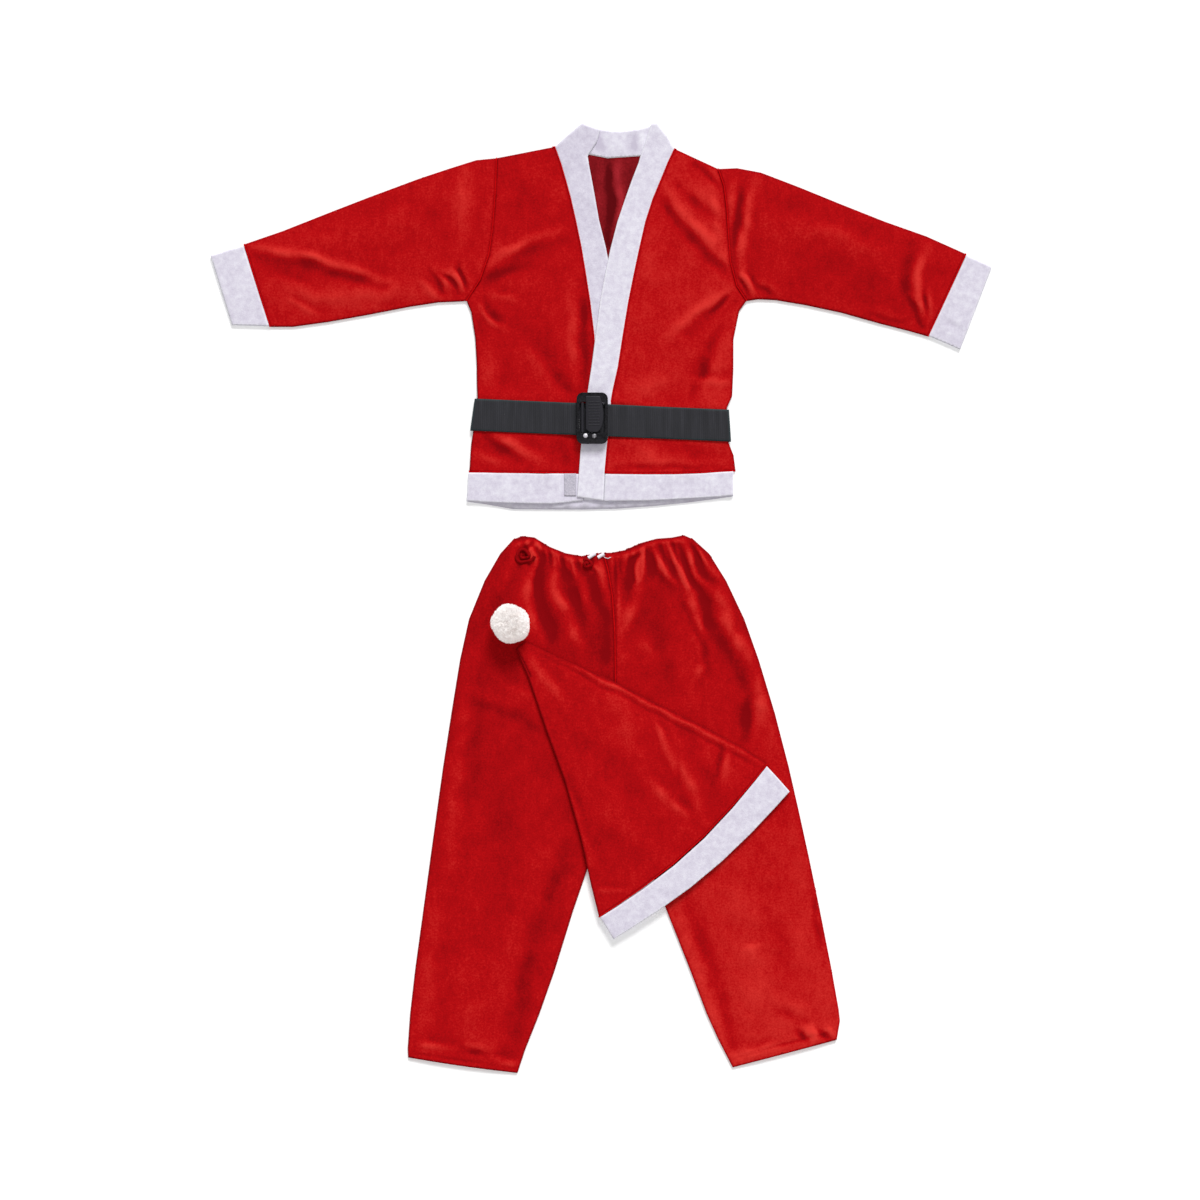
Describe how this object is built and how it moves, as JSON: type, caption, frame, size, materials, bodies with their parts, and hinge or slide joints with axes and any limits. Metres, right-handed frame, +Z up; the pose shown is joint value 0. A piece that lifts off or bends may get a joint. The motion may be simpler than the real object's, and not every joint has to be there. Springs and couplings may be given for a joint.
{
  "type": "santa suit laid flat",
  "caption": "Child's red velour suit laid flat: belted wrap jacket with white bands, gathered trousers, and a pointed hat with a pompon lying on them.",
  "frame": {"origin": "middle of the ground that the laid-out suit covers, on the surface it lies on", "axes": "+Y from the trouser hems towards the collar, +X towards the wearer's left sleeve, +Z up from the surface"},
  "size_m": [0.9764, 1.187, 0.0444],
  "materials": {
    "red_velour": "brushed polyester velour, short nap, soft sheen at folds",
    "white_felt": "thin white felt strip, doubled, matt",
    "webbing": "black ribbed polypropylene webbing",
    "buckle_plastic": "moulded black plastic, glossy rim, satin lever",
    "rivet_steel": "small nickelled rivets at the foot of the buckle",
    "white_plush": "soft white plush pile",
    "hook_tape": "grey-white hook tape"
  },
  "bodies": {
    "root": {"jacket_back": "red_velour", "jacket_front_right": "red_velour", "jacket_front_left": "red_velour", "sleeve_right": "red_velour", "sleeve_left": "red_velour", "cuff_right": "white_felt", "cuff_left": "white_felt", "front_band_right": "white_felt", "front_band_left": "white_felt", "neck_band_back": "white_felt", "hem_band": "white_felt", "closure_tape": "hook_tape", "belt_strap": "webbing", "buckle_frame": "buckle_plastic", "buckle_lever": "buckle_plastic", "buckle_bar": "buckle_plastic", "buckle_rivet_1": "rivet_steel", "buckle_rivet_2": "rivet_steel", "leg_right": "red_velour", "leg_left": "red_velour", "hat_cone": "red_velour", "hat_brim": "white_felt", "hat_pompon": "white_plush"}
  },
  "joints": []
}
